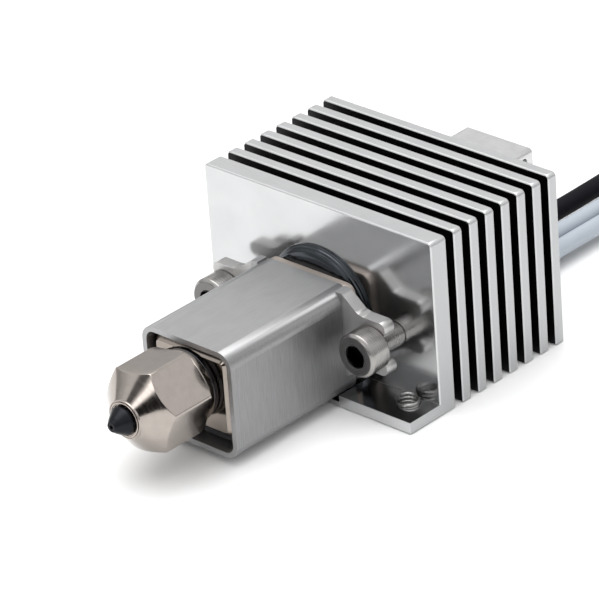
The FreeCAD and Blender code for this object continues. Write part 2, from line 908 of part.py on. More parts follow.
def make_lead(label, route, width):
    """A round lead along its route, counted from the heatsink's front face."""
    path, radii = route_wire(route)
    first = path.Edges[0]
    start, along = first.valueAt(first.FirstParameter), first.tangentAt(first.FirstParameter)
    section = Part.Wire([Part.Circle(start, along, width.value / 2).toShape()])
    tube = path.makePipeShell([section], True, True)
    ideal = math.pi * (width.value / 2) ** 2 * path.Length
    print(f"{label}: length {path.Length:.1f}, radii {[round(r, 1) for r in radii]},", end=" ")
    print(f"volume {tube.Volume:.2f} of {ideal:.2f}")
    lead = doc.addObject("Part::Feature", label)
    lead.Label = label
    lead.Shape = tube
    lead.setExpression("Placement.Base.y", dim("plate_back").text)
    return lead


def make_inner_lead(label, places, width):
    """The straight stretch of a lead in the channel under the fins."""
    body = new_body(label, up=dim("lead_high"))
    across(body, -dim("heater_back"), SINK_DEPTH, circles(width, *places))
    return body


def plug_body(label, kind):
    return new_body(label, side=dim(f"{kind}_plug_side"), back=dim(f"{kind}_plug_back"))


def pin_boxes(width, height):
    """Equal boxes about the two pins' places, as outlines."""
    shapes = []
    for side in (-1, 1):
        middle, high = dim("contact_spread") / 2 * side, dim("entry_high")
        shapes.append(
            box_points(middle - width / 2, middle + width / 2, high - height / 2, high + height / 2)
        )
    return shapes


def make_plug(label, kind, entries, lead_wide):
    """A two-way plug housing: lead entries in its front, two mating cavities behind, and a latch."""
    body = plug_body(label, kind)
    half, high, long = dim(f"{kind}_plug_wide") / 2, dim(f"{kind}_plug_high"), dim(f"{kind}_plug_long")
    shell = across(body, 0.0, long, box(-half, half, ZERO, high))
    dress(body, shell, "Fillet", 0.3, lambda edge: runs_along(edge, 1))
    latch_half, latch_top = half * 0.35, high + dim("latch_rise")
    across(body, 1.2, long - 2.2, box(-latch_half, latch_half, high - 0.2, latch_top))
    ramp = [(1.0, high), (1.0, latch_top + OVER), (4.0, latch_top + OVER)]
    sideways(body, -half, half, outlines(ramp), cut=True)
    places = [(side, dim("entry_high")) for side in entries]
    across(body, -OVER, dim("entry_deep"), circles(lead_wide + dim("entry_gap"), *places), cut=True)
    cavities = outlines(*pin_boxes(dim("cavity_wide"), dim("cavity_high")))
    across(body, dim("cavity_start"), long + OVER, cavities, cut=True)
    return body


def make_contacts(label, kind):
    """The two contacts inside a plug, as one group: square barrels, open at the mating end."""
    body = plug_body(label, kind)
    front = dim("cavity_start") + 0.15
    back = dim(f"{kind}_plug_long") - 0.75
    outer = outlines(*pin_boxes(dim("contact_wide"), dim("contact_high")))
    across(body, front, back, outer)
    inner = outlines(*pin_boxes(dim("contact_wide") - 0.4, dim("contact_high") - 0.4))
    across(body, front + 1.5, back + OVER, inner, cut=True)
    return body


# ---------------------------------------------------------------- the assembly
AXIS = dim("axis_high")
HEAD_SEAT = -dim("fork_front") - dim("seat_gap")
SHANK = dim("screw_tip") - HEAD_SEAT
INLET_SEAT = SINK_DEPTH + INLET_SEAT_DEPTH + dim("seat_gap")
INLET_SHANK = SINK_DEPTH - dim("inlet_screw_deep") - INLET_SEAT
HEATER_PLACES = (
    (dim("lead_inner_side"), dim("lead_inner_rise")),
    (dim("lead_inner_side") + dim("lead_step"), ZERO),
)
HEATER_ENTRIES = (-dim("lead_step") / 2, dim("lead_step") / 2)

nodes = [
    make_heatsink(),
    make_foot_insert("foot_insert_left", -FOOT_HOLE_SIDE),
    make_foot_insert("foot_insert_right", FOOT_HOLE_SIDE),
    make_inlet_block(),
    make_inlet_liner(),
    make_heat_break(),
    make_neck_collar(),
    make_heater_block(),
    make_block_cover(),
    make_ceramic_heater(),
    make_thermistor(),
    make_nozzle(),
    make_nozzle_tip(),
    make_nozzle_washer(),
    make_cap_screw("support_screw_left", -SCREW_SIDE, HEAD_SEAT, SHANK, AXIS),
    make_cap_screw("support_screw_right", SCREW_SIDE, HEAD_SEAT, SHANK, AXIS),
    make_cap_screw("inlet_block_screw", ZERO, INLET_SEAT, INLET_SHANK, dim("inlet_screw_high")),
    make_set_screw(),
    make_inner_lead("heater_lead_inner", HEATER_PLACES, dim("lead_wide")),
    make_inner_lead("thermistor_lead_inner", ((-dim("sensor_side"), ZERO),), dim("sleeve_wide")),
    make_lead("heater_lead_a", HEATER_A_ROUTE, dim("lead_wide")),
    make_lead("heater_lead_b", HEATER_B_ROUTE, dim("lead_wide")),
    make_lead("thermistor_lead", SENSOR_ROUTE, dim("sleeve_wide")),
    make_plug("heater_plug", "power", HEATER_ENTRIES, dim("lead_wide")),
    make_plug("thermistor_plug", "sensor", (ZERO,), dim("sleeve_wide")),
    make_contacts("heater_contacts", "power"),
    make_contacts("thermistor_contacts", "sensor"),
]

doc.recompute()
for item in doc.Objects:
    if "Invalid" in item.State or "Error" in item.State:
        raise ValueError(f"{item.Name} is {item.State}")
for node in nodes:
    if node.Shape.isNull() or not node.Shape.isValid():
        raise ValueError(f"{node.Label} has no valid shape")

os.makedirs("parts", exist_ok=True)
for node in nodes:
    node.Shape.exportStep(f"parts/{node.Label}.step")
    print(f"{node.Label}: {len(node.Shape.Solids)} solid(s), {node.Shape.Volume:.2f} cubic mm")
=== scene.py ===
"""Looks of the hotend assembly: materials, threads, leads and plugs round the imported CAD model."""
import json
import math

import bmesh
import bpy
from mathutils import Matrix, Vector


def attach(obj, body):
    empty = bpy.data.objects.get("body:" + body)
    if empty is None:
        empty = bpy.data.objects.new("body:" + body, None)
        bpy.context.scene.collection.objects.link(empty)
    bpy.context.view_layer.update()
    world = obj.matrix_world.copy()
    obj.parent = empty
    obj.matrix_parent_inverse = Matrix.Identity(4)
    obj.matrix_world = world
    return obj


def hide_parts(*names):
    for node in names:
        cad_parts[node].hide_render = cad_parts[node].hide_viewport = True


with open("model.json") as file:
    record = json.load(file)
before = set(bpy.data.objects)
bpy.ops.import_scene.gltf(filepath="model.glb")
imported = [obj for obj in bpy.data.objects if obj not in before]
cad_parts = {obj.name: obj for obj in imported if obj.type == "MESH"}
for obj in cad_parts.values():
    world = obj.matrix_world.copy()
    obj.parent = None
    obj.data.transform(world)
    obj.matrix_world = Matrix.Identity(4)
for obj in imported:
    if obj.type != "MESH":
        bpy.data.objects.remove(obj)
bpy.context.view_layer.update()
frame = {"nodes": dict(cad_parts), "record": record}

# sizes are in millimetres, and places along Y count from the front plate's face
MM = 0.001  # metres
PLATE_BACK = 1.4  # from the foot holes' row to the front plate's face
PLATE_THICK = 2.15
SINK_BACK = 18.11
INLET_END = SINK_BACK + 8.3
AXIS_HIGH = 7.3
SCREW_SIDE = 9.4
INLET_SCREW_HIGH = 11.75
FOOT_HOLE_SIDE = 11.75
FILAMENT_RADIUS = 1.0
LINER_RADIUS, LINER_START = 1.5, 6.0
THREAD_RADIUS, THREAD_PITCH, THREAD_DEPTH = 3.0, 1.0, 0.45
SCREW_RADIUS, SCREW_PITCH, SCREW_DEPTH = 1.2, 0.45, 0.2
NODES = frame["nodes"]


def mm(x, y, z):
    """A point in metres, from millimetres that count from the front plate's face."""
    return Vector((x * MM, (y + PLATE_BACK) * MM, z * MM))


# ---------------------------------------------------------------- camera
AZIMUTH, ELEVATION, ROLL = (math.radians(a) for a in (44.567, 28.229, -4.317))
LENS, SENSOR = 295.43, 36.0
AIM = Vector((-0.0028, 0.0012, 0.0071))  # metres, in the part's own frame
DISTANCE = 0.47  # metres


def make_camera():
    back = Vector(
        (
            math.sin(AZIMUTH) * math.cos(ELEVATION),
            -math.cos(AZIMUTH) * math.cos(ELEVATION),
            math.sin(ELEVATION),
        )
    )
    level = Vector((math.cos(AZIMUTH), math.sin(AZIMUTH), 0.0))
    upright = back.cross(level)
    right = level * math.cos(ROLL) + upright * math.sin(ROLL)
    up = upright * math.cos(ROLL) - level * math.sin(ROLL)
    data = bpy.data.cameras.new("camera")
    data.lens, data.sensor_width = LENS, SENSOR
    data.clip_start, data.clip_end = 0.01, 10.0
    camera = bpy.data.objects.new("camera", data)
    turn = Matrix((right, up, back)).transposed().to_4x4()
    camera.matrix_world = Matrix.Translation(AIM + back * DISTANCE) @ turn
    bpy.context.scene.collection.objects.link(camera)
    bpy.context.scene.camera = camera


# ---------------------------------------------------------------- node helpers
class Tree:
    """A material's node tree with short calls for what the materials need."""

    def __init__(self, name):
        self.material = bpy.data.materials.new(name)
        self.material.use_nodes = True
        self.nodes = self.material.node_tree.nodes
        self.links = self.material.node_tree.links
        self.shader = self.nodes["Principled BSDF"]
        self.place = self.add("ShaderNodeTexCoord")

    def add(self, kind, **settings):
        node = self.nodes.new(kind)
        for name, value in settings.items():
            setattr(node, name, value)
        return node

    def wire(self, value, socket):
        """Links a socket, or sets a constant."""
        if isinstance(value, bpy.types.NodeSocket):
            self.links.new(value, socket)
        else:
            socket.default_value = value

    def paint(self, color, socket):
        """Links a colour's socket, or sets a colour of three numbers."""
        self.wire(color if isinstance(color, bpy.types.NodeSocket) else (*color, 1.0), socket)

    def scaled(self, x, y, z):
        """Coordinates in millimetres, scaled along each axis."""
        node = self.add("ShaderNodeMapping")
        node.inputs["Scale"].default_value = (x / MM, y / MM, z / MM)
        self.links.new(self.place.outputs["Object"], node.inputs["Vector"])
        return node.outputs["Vector"]

    def noise(self, vector, scale, detail, rough=0.55):
        node = self.add("ShaderNodeTexNoise")
        self.links.new(vector, node.inputs["Vector"])
        node.inputs["Scale"].default_value = scale
        node.inputs["Detail"].default_value = detail
        node.inputs["Roughness"].default_value = rough
        return node.outputs["Fac"]

    def spread(self, value, low, high, out_low, out_high):
        """Maps low..high to out_low..out_high, held at the ends."""
        node = self.add("ShaderNodeMapRange")
        self.wire(value, node.inputs["Value"])
        node.inputs["From Min"].default_value = low
        node.inputs["From Max"].default_value = high
        node.inputs["To Min"].default_value = out_low
        node.inputs["To Max"].default_value = out_high
        return node.outputs["Result"]

    def vary(self, noise, out_low=0.0, out_high=1.0):
        """Stretches a noise, which mostly lies between 0.3 and 0.7, to out_low..out_high."""
        return self.spread(noise, 0.3, 0.7, out_low, out_high)

    def math(self, operation, a, b=0.0):
        node = self.add("ShaderNodeMath", operation=operation)
        self.wire(a, node.inputs[0])
        self.wire(b, node.inputs[1])
        return node.outputs["Value"]

    def mix(self, share, a, b):
        """A colour between a and b."""
        node = self.add("ShaderNodeMix", data_type="RGBA")
        self.wire(share, node.inputs["Factor"])
        first, second = [socket for socket in node.inputs if socket.type == "RGBA"]
        self.paint(a, first)
        self.paint(b, second)
        return [socket for socket in node.outputs if socket.type == "RGBA"][0]

    def blend(self, share, a, b):
        """A number between a and b."""
        node = self.add("ShaderNodeMix", data_type="FLOAT")
        self.wire(share, node.inputs["Factor"])
        self.wire(a, node.inputs["A"])
        self.wire(b, node.inputs["B"])
        return node.outputs["Result"]

    def bump(self, height, distance_mm, strength):
        node = self.add("ShaderNodeBump")
        node.inputs["Strength"].default_value = strength
        node.inputs["Distance"].default_value = distance_mm * MM
        self.links.new(height, node.inputs["Height"])
        self.links.new(node.outputs["Normal"], self.shader.inputs["Normal"])

    def axis(self, index):
        """The place along X, Y or Z in millimetres, in the piece's own axes."""
        node = self.add("ShaderNodeSeparateXYZ")
        self.links.new(self.scaled(1.0, 1.0, 1.0), node.inputs["Vector"])
        return node.outputs[index]

    def facing(self, index):
        """The surface normal's share along X, Y or Z, in the piece's own axes."""
        node = self.add("ShaderNodeSeparateXYZ")
        self.links.new(self.place.outputs["Normal"], node.inputs["Vector"])
        return node.outputs[index]

    def faces_along(self, index, low, high):
        """One where the surface faces along X, Y or Z, either way, and nought elsewhere."""
        return self.spread(self.math("ABSOLUTE", self.facing(index)), low, high, 0.0, 1.0)

    def finish(self, color, roughness, metallic=1.0, specular=0.5):
        self.paint(color, self.shader.inputs["Base Color"])
        self.wire(roughness, self.shader.inputs["Roughness"])
        self.wire(metallic, self.shader.inputs["Metallic"])
        self.shader.inputs["Specular IOR Level"].default_value = specular
        return self.material


# ---------------------------------------------------------------- materials
def distance_from_axis(tree, side, high):
    """Millimetres from a line along Y at (side, high), for turning marks."""
    squares = []
    for index, middle in ((0, side), (2, high)):
        across = tree.math("SUBTRACT", tree.axis(index), middle)
        squares.append(tree.math("MULTIPLY", across, across))
    return tree.math("SQRT", tree.math("ADD", *squares))


def marks(tree, number, per_mm):
    """Fine uneven lines where a number stays the same."""
    node = tree.add("ShaderNodeTexNoise", noise_dimensions="1D")
    tree.wire(number, node.inputs["W"])
    node.inputs["Scale"].default_value = per_mm
    node.inputs["Detail"].default_value = 3.0
    node.inputs["Roughness"].default_value = 0.6
    return node.outputs["Fac"]


def turning_lines(tree, radius, per_mm):
    """Rings on the end faces and lines round the sides, as a lathe leaves them."""
    rings, turns = marks(tree, radius, per_mm), marks(tree, tree.axis(1), per_mm)
    return tree.blend(tree.faces_along(1, 0.8, 0.95), turns, rings)


def tinted(tree, color, amount, size):
    """The colour with slow cloudy changes."""
    cloud = tree.noise(tree.scaled(size, size, size), 2.0, 4.0)
    darker = [channel * (1 - amount) for channel in color]
    lighter = [min(channel * (1 + amount), 1.0) for channel in color]
    return tree.mix(tree.vary(cloud), darker, lighter)


def sink_aluminium():
    """Machined aluminium: a polished front face and foot, satin edges, and painted shade, near black, on the
    walls in the slots.
    """
    tree = Tree("sink_aluminium")
    plate_back, sink_back = PLATE_BACK + PLATE_THICK, PLATE_BACK + SINK_BACK
    core_side, core_top, foot_top = 5.6, 13.1, 1.4  # just past each of them
    side, along, high = (tree.axis(index) for index in range(3))
    # the slots, where shade is painted: every face that looks along Y behind the plate, and the core between
    # the fins
    behind = tree.spread(along, plate_back - 0.02, plate_back - 0.01, 0.0, 1.0)
    before = tree.spread(along, sink_back - 0.02, sink_back - 0.01, 1.0, 0.0)
    core_x = tree.spread(tree.math("ABSOLUTE", side), core_side, core_side + 0.1, 1.0, 0.0)
    core = tree.math("MULTIPLY", core_x, tree.spread(high, core_top, core_top + 0.1, 1.0, 0.0))
    shaded_wall_or_core = tree.math("MAXIMUM", tree.faces_along(1, 0.93, 0.97), core)
    slot = tree.math("MULTIPLY", tree.math("MULTIPLY", behind, before), shaded_wall_or_core)
    # the polished faces: the plate's front and the foot's top
    front = tree.spread(tree.facing(1), -0.95, -0.85, 1.0, 0.0)
    at_plate = tree.spread(along, PLATE_BACK + 0.3, PLATE_BACK + 0.5, 1.0, 0.0)
    upward = tree.spread(tree.facing(2), 0.85, 0.95, 0.0, 1.0)
    at_foot = tree.spread(high, foot_top, foot_top + 0.2, 1.0, 0.0)
    plate_front = tree.math("MULTIPLY", front, at_plate)
    polished = tree.math("MAXIMUM", plate_front, tree.math("MULTIPLY", upward, at_foot))
    # milling lines run along X on the edges of the fins; their sides are sawn, with a fine speckle
    milled = tree.noise(tree.scaled(0.25, 9.0, 9.0), 2.5, 4.0)
    cloud = tree.noise(tree.scaled(0.16, 0.16, 0.16), 2.0, 4.0)
    speck = tree.noise(tree.scaled(6.0, 6.0, 6.0), 2.0, 4.0)
    satin = tree.vary(milled, 0.27, 0.40)
    shiny = tree.vary(cloud, 0.14, 0.18)
    smooth = tree.mix(tree.vary(cloud), (0.545, 0.55, 0.555), (0.59, 0.595, 0.60))
    sawn = tree.mix(tree.spread(speck, 0.35, 0.7, 0.0, 1.0), (0.41, 0.415, 0.42), (0.49, 0.495, 0.50))
    tone = tree.mix(tree.faces_along(0, 0.85, 0.95), smooth, sawn)
    # painted shade: the slot walls and the core between the fins are coloured near black
    color = tree.mix(slot, tone, (0.018, 0.018, 0.02))
    tree.bump(milled, 0.004, 0.3)
    return tree.finish(color, tree.blend(slot, tree.blend(polished, satin, shiny), 0.45))


def brushed_cover():
    """Thin steel sheet, brushed along its length on top and upright on its sides."""
    tree = Tree("cover_steel")
    along = tree.noise(tree.scaled(11.0, 0.22, 11.0), 2.0, 5.0, 0.65)
    upright = tree.noise(tree.scaled(9.0, 9.0, 0.25), 2.0, 5.0, 0.65)
    cloud = tree.noise(tree.scaled(0.25, 0.18, 0.25), 2.0, 4.0)
    scuffs = tree.noise(tree.scaled(0.9, 0.35, 0.9), 3.0, 6.0, 0.7)
    beside = tree.faces_along(0, 0.5, 0.8)
    grain = tree.blend(beside, along, upright)
    # the box's sides are painted darker, as shade; the fork plates beyond it are lighter
    out, box_side, fork_side = tree.math("ABSOLUTE", tree.axis(0)), 5.8, 6.0
    on_box = tree.spread(out, box_side, fork_side, 0.8, 0.0)
    on_fork = tree.spread(out, box_side, fork_side, 0.0, 0.7)
    tone = tree.mix(tree.vary(grain), (0.325, 0.325, 0.33), (0.42, 0.42, 0.425))
    tone = tree.mix(tree.spread(cloud, 0.35, 0.7, 0.0, 0.3), tone, (0.43, 0.43, 0.43))
    # painted shade: a darker tone, mixed in on the box's sides
    darker = tree.mix(tree.vary(grain), (0.20, 0.20, 0.205), (0.32, 0.32, 0.325))
    tone = tree.mix(tree.math("MULTIPLY", beside, on_box), tone, darker)
    tone = tree.mix(on_fork, tone, (0.58, 0.57, 0.56))
    tree.bump(grain, 0.005, 0.35)
    scuffed = tree.math("MULTIPLY", tree.spread(scuffs, 0.58, 0.75, 0.0, 1.0), 0.06)
    return tree.finish(tone, tree.math("ADD", tree.vary(grain, 0.36, 0.50), scuffed))


def turned_metal(name, color, roughness, high=AXIS_HIGH, per_mm=9.0, bump=0.003, amount=0.06):
    """Metal with fine rings round an axis along Y and lines along the length of its sides."""
    tree = Tree(name)
    lines = turning_lines(tree, distance_from_axis(tree, 0.0, high), per_mm)
    speck = tree.noise(tree.scaled(3.0, 3.0, 3.0), 2.0, 5.0)
    tree.bump(lines, bump, 0.35)
    rough = tree.vary(lines, roughness * 0.8, roughness * 1.15)
    rough = tree.math("ADD", rough, tree.spread(speck, 0.4, 0.7, 0.0, 0.03))
    return tree.finish(tinted(tree, color, amount, 0.5), rough)


def screw_metal(name, side):
    """A turned cap screw: dark on the head's end face, painted shade, black, down in its socket, lighter on
    its side.
    """
    tree = Tree(name)
    head_back, socket_radius = PLATE_BACK - 3.5, 1.17
    radius = distance_from_axis(tree, side, AXIS_HIGH)
    lines = turning_lines(tree, radius, 11.0)
    painted_socket_shade = tree.spread(radius, socket_radius, socket_radius + 0.02, 1.0, 0.0)
    in_head = tree.spread(tree.axis(1), head_back, head_back + 0.1, 1.0, 0.0)
    side_tone = tinted(tree, (0.33, 0.32, 0.31), 0.08, 0.5)
    tone = tree.mix(tree.faces_along(1, 0.8, 0.95), side_tone, (0.17, 0.166, 0.163))
    # painted shade: black down in the socket
    tone = tree.mix(tree.math("MULTIPLY", painted_socket_shade, in_head), tone, (0.012, 0.012, 0.013))
    tree.bump(lines, 0.003, 0.3)
    return tree.finish(tone, tree.vary(lines, 0.22, 0.32))


def satin_metal(name, color, roughness, grain=(4.0, 4.0, 4.0)):
    """Metal with a fine grain, finer along the axes where grain is larger."""
    tree = Tree(name)
    lines = tree.noise(tree.scaled(*grain), 2.0, 4.0)
    tree.bump(lines, 0.003, 0.35)
    return tree.finish(tinted(tree, color, 0.07, 0.35), tree.vary(lines, roughness - 0.04, roughness + 0.04))


def block_nickel():
    """Plated block: a dark mirror in front, and a lighter satin rim behind the cover."""
    tree = Tree("block_nickel")
    rim_front = PLATE_BACK - 2.3
    lines = tree.noise(tree.scaled(2.0, 2.0, 2.0), 2.0, 4.0)
    rim = tree.spread(tree.axis(1), rim_front, rim_front + 0.1, 0.0, 1.0)
    mirror_tone = tinted(tree, (0.30, 0.265, 0.235), 0.07, 0.35)
    rim_tone = tinted(tree, (0.46, 0.40, 0.36), 0.07, 0.5)
    tree.bump(lines, 0.004, 0.35)
    rough = tree.math("ADD", tree.vary(lines, 0.10, 0.16), tree.math("MULTIPLY", rim, 0.28))
    return tree.finish(tree.mix(rim, mirror_tone, rim_tone), rough, tree.spread(rim, 0.0, 1.0, 1.0, 0.6))


def moulded(name, color, roughness):
    """Moulded plastic or a matte coat: a fine even grain over slow changes of tone."""
    tree = Tree(name)
    grain = tree.noise(tree.scaled(9.0, 9.0, 9.0), 2.0, 3.0)
    tree.bump(grain, 0.01, 0.3)
    rough = tree.vary(grain, roughness - 0.06, roughness + 0.06)
    return tree.finish(tinted(tree, color, 0.05, 0.3), rough, 0.0)


def sleeve(name, color, thread, roughness, contrast=1.0, specular=0.5):
    """A woven sleeve: two sets of strands that cross round the lead, from the curve's own coordinates."""
    tree = Tree(name)
    split = tree.add("ShaderNodeSeparateXYZ")
    tree.links.new(tree.place.outputs["UV"], split.inputs["Vector"])
    length, around = split.outputs[0], split.outputs[1]
    crossings, strands = 156.0, 12.0
    waves = []
    for turn in (-1.0, 1.0):
        lengthwise = tree.math("MULTIPLY", length, crossings)
        phase = tree.math("ADD", lengthwise, tree.math("MULTIPLY", around, turn * strands))
        waves.append(tree.math("SINE", tree.math("MULTIPLY", phase, 2 * math.pi)))
    weave = tree.spread(tree.math("MULTIPLY", *waves), -1.0, 1.0, 0.0, 1.0)
    cloud = tree.noise(tree.scaled(0.5, 0.12, 0.5), 2.0, 4.0)
    tone = tree.mix(tree.math("MULTIPLY", weave, 0.35 * contrast), color, thread)
    tone = tree.mix(tree.spread(cloud, 0.4, 0.7, 0.0, 0.25), tone, thread)
    tree.bump(weave, 0.02 * contrast, 0.4)
    rough = tree.spread(weave, 0.0, 1.0, roughness - 0.05, roughness + 0.08)
    return tree.finish(tone, rough, 0.0, specular)


NICKEL = (0.395, 0.355, 0.325)
STEEL = (0.40, 0.385, 0.37)

MATERIALS = {
    "sink_aluminium": sink_aluminium(),
    "insert_steel": satin_metal("insert_steel", (0.34, 0.335, 0.33), 0.28, (6.0, 6.0, 2.0)),
    "block_aluminium": satin_metal("block_aluminium", (0.58, 0.58, 0.585), 0.38, (6.0, 0.6, 6.0)),
    "liner_white": moulded("liner_white", (0.85, 0.85, 0.82), 0.35),
    "heat_break_metal": turned_metal("heat_break_metal", (0.42, 0.40, 0.38), 0.22),
    "collar_dark": turned_metal("collar_dark", (0.060, 0.066, 0.073), 0.11, per_mm=5.0, bump=0.0006),
    "block_nickel": block_nickel(),
    "cover_steel": brushed_cover(),
    "heater_ceramic": moulded("heater_ceramic", (0.03, 0.03, 0.034), 0.5),
    "sensor_metal": satin_metal("sensor_metal", (0.6, 0.6, 0.6), 0.3),
    "nozzle_nickel": turned_metal("nozzle_nickel", NICKEL, 0.14, per_mm=6.0, bump=0.002, amount=0.05),
    "tip_black": turned_metal("tip_black", (0.020, 0.021, 0.024), 0.33, per_mm=16.0, bump=0.006),
    "washer_dark": turned_metal("washer_dark", (0.05, 0.05, 0.055), 0.25),
    "screw_steel": screw_metal("screw_steel", SCREW_SIDE),
    "screw_black": turned_metal("screw_black", (0.045, 0.045, 0.045), 0.3),
    "lead_glass_fibre": sleeve("lead_glass_fibre", (0.34, 0.38, 0.43), (0.44, 0.47, 0.51), 0.4, contrast=0.5),
    "lead_black": sleeve("lead_black", (0.003, 0.003, 0.005), (0.007, 0.007, 0.012), 0.6, specular=0.1),
    "plug_white": moulded("plug_white", (0.80, 0.79, 0.75), 0.38),
    "plug_black": moulded("plug_black", (0.025, 0.025, 0.028), 0.4),
    "contact_tin": satin_metal("contact_tin", (0.68, 0.67, 0.64), 0.25),
}
SCREW_LEFT_STEEL = screw_metal("screw_steel_left", -SCREW_SIDE)
SCREW_INLET_STEEL = turned_metal("screw_steel_inlet", STEEL, 0.2, high=INLET_SCREW_HIGH, per_mm=12.0)

for part in frame["record"]["subparts"]:
    node = NODES[part["node"]]
    node.data.materials.clear()
    node.data.materials.append(MATERIALS[part["material_slot"]])


def soften(name, width_mm):
    """Breaks a CAD node's sharp edges a little, with modifiers only."""
    node = NODES[name]
    weld = node.modifiers.new("weld", "WELD")
    weld.merge_threshold = 0.0005 * MM
    flatten = node.modifiers.new("flatten", "DECIMATE")
    flatten.decimate_type = "DISSOLVE"
    flatten.angle_limit = math.radians(0.5)
    bevel = node.modifiers.new("bevel", "BEVEL")
    bevel.width = width_mm * MM
    bevel.segments = 2
    bevel.limit_method = "ANGLE"
    bevel.angle_limit = math.radians(28.0)
    bevel.use_clamp_overlap = True
    bevel.harden_normals = True


SOFTENED = {
    "heatsink": 0.05,
    "inlet_block": 0.08,
    "heater_block": 0.05,
    "block_cover": 0.06,
    "ceramic_heater": 0.06,
    "heater_plug": 0.08,
    "thermistor_plug": 0.08,
    "heater_contacts": 0.03,
    "thermistor_contacts": 0.03,
}
for softened_node, break_width in SOFTENED.items():
    soften(softened_node, break_width)


# ---------------------------------------------------------------- turned pieces
def bent(t, before, corner, after):
    """The value at t on a curve that leaves before, turns at corner and ends at after."""
    return (1 - t) ** 2 * before + 2 * t * (1 - t) * corner + t * t * after


class Lathe:
    """Rings of points round an axis; a place or a radius is a number or a function of the angle."""

    def __init__(self, columns):
        self.angles = [2 * math.pi * n / columns for n in range(columns)]
        self.rings = []

    def ring(self, along, radius):
        places = [along(a) if callable(along) else along for a in self.angles]
        radii = [radius(a) if callable(radius) else radius for a in self.angles]
        self.rings.append(list(zip(places, radii, self.angles)))

    def rounded(self, corner, before, after, size, steps):
        """A rounded corner of the given size along both runs, or nearly half of a shorter run."""
        points = []
        for target in (before, after):
            share = min(size / math.dist(corner, target), 0.45)
            points.append([c + (t - c) * share for c, t in zip(corner, target)])
        for step in range(steps + 1):
            self.ring(*[bent(step / steps, *values) for values in zip(points[0], corner, points[1])])

    def profile(self, points, size, steps=3):
        """Rings along an outline of (along, radius), with each inner corner rounded."""
        self.ring(*points[0])
        for before, corner, after in zip(points, points[1:], points[2:]):
            self.rounded(corner, before, after, size, steps)
        self.ring(*points[-1])

    def thread(self, start, end, radius, pitch, depth, rows=10):
        """A helical thread; it fades in and out over one pitch."""
        count = max(2, round(abs(end - start) / pitch * rows))
        for step in range(count + 1):
            along = start + (end - start) * step / count
            fade = min(1.0, abs(along - start) / pitch, abs(along - end) / pitch)

            def radius_at(angle):
                phase = (along / pitch + angle / (2 * math.pi)) % 1.0
                crest = 1 - abs(2 * phase - 1)
                # the crest and the root are flat, and the flank between them is straight
                return radius - depth * fade * min(1.0, max(0.0, 1.25 - 1.5 * crest))

            self.ring(along, radius_at)

    def build(self, name, place, material, closed=False):
        """place turns (across, along, up) into a point; closed joins the last ring to the first."""
        vertices, ids = [], []
        for ring in self.rings:
            if all(radius < 1e-9 for _, radius, _ in ring):
                ids.append([len(vertices)] * len(ring))
                vertices.append(place(0.0, ring[0][0], 0.0))
                continue
            ids.append(list(range(len(vertices), len(vertices) + len(ring))))
            vertices.extend(place(r * math.cos(a), along, r * math.sin(a)) for along, r, a in ring)
        faces = []
        pairs = list(zip(ids, ids[1:]))
        if closed:
            pairs.append((ids[-1], ids[0]))
        for one, two in pairs:
            for n in range(len(self.angles)):
                m = (n + 1) % len(self.angles)
                corners = list(dict.fromkeys((one[n], one[m], two[m], two[n])))
                if len(corners) > 2:
                    faces.append(corners)
        return make_piece(name, vertices, faces, material)


def make_piece(name, vertices, faces, material, sharp=40.0):
    mesh = bpy.data.meshes.new(name)
    mesh.from_pydata(vertices, [], faces)
    mesh.validate()
    mesh.polygons.foreach_set("use_smooth", [True] * len(mesh.polygons))
    mesh.update()
    tidy_faces(mesh)
    mesh.set_sharp_from_angle(angle=math.radians(sharp))
    mesh.materials.append(material)
    piece = bpy.data.objects.new(name, mesh)
    bpy.context.scene.collection.objects.link(piece)
    return piece


def tidy_faces(mesh):
    """Makes every face look outward."""
    work = bmesh.new()
    work.from_mesh(mesh)
    bmesh.ops.recalc_face_normals(work, faces=work.faces)
    work.to_mesh(mesh)
    work.free()


def stand_for(piece, node, body):
    """Puts a piece on its body in place of a CAD node."""
    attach(piece, body)
    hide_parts(node)


def about(side, high):
    """Places a turned piece on an axis along Y."""
    return lambda x, y, z: mm(side + x, y, high + z)


def rounded_hexagon(flats, turn, sharpness=70.0):
    """The radius of a hexagon with slightly rounded corners, by angle; turn places a corner."""

    def radius(angle):
        total = 0.0
        for side in range(6):
            share = math.cos(angle - math.radians(turn + 30 + 60 * side))
            if share > 0.4:
                total += share**sharpness
        return flats / 2 / total ** (1 / sharpness)

    return radius


